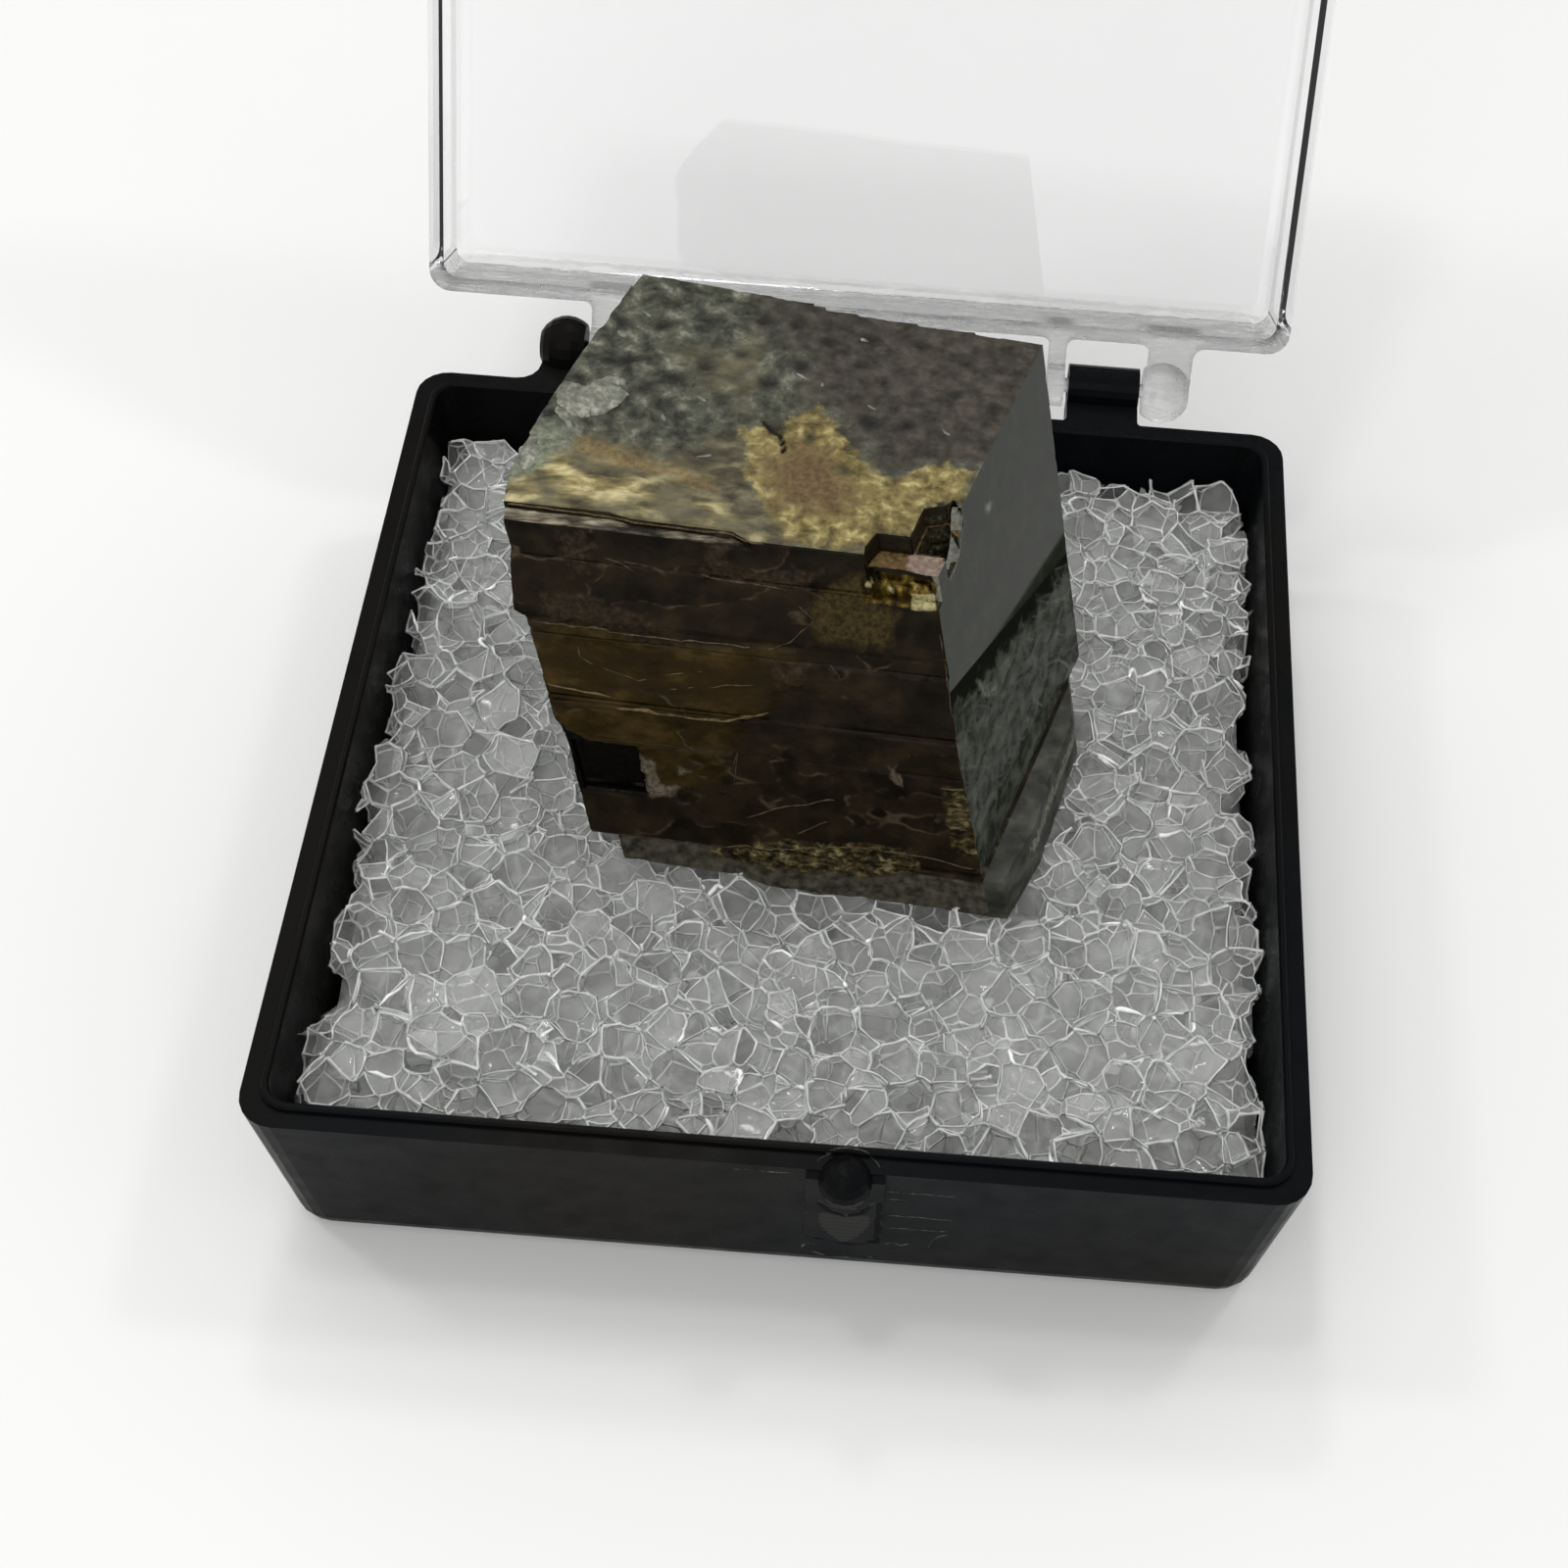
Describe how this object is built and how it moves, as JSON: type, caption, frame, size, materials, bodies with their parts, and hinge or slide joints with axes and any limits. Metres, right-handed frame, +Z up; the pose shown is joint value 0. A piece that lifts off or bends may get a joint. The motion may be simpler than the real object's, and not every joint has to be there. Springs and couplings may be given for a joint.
{
  "type": "siderite mineral specimen in a hinged display box",
  "caption": "Block of dark brown siderite bounded by flat cleavage faces, lying on cellular foam in a shallow black tray with an open clear hinged lid.",
  "frame": {"origin": "middle of the flat underside of the tray", "axes": "+X to the right along the hinge, +Y towards the hinge at the back, +Z up"},
  "size_m": [0.057, 0.0938, 0.0705],
  "materials": {
    "black_styrene": "black moulded styrene, satin gloss with fine scratches",
    "white_foam": "translucent pale grey open-cell packing foam",
    "siderite_brown": "dark brown cleavage faces, glossy to dull, with golden brown patches",
    "clear_styrene": "clear glossy styrene"
  },
  "bodies": {
    "box": {"box_base": "black_styrene", "foam_pad": "white_foam", "siderite_crystal": "siderite_brown"},
    "lid": {"lid": "clear_styrene"}
  },
  "joints": [
    {"name": "lid_hinge", "type": "hinge", "parent": "box", "child": "lid", "pos_m": [0, 0.03165, 0.01355], "axis": [1, 0, 0], "range_deg": [0, 66]}
  ]
}
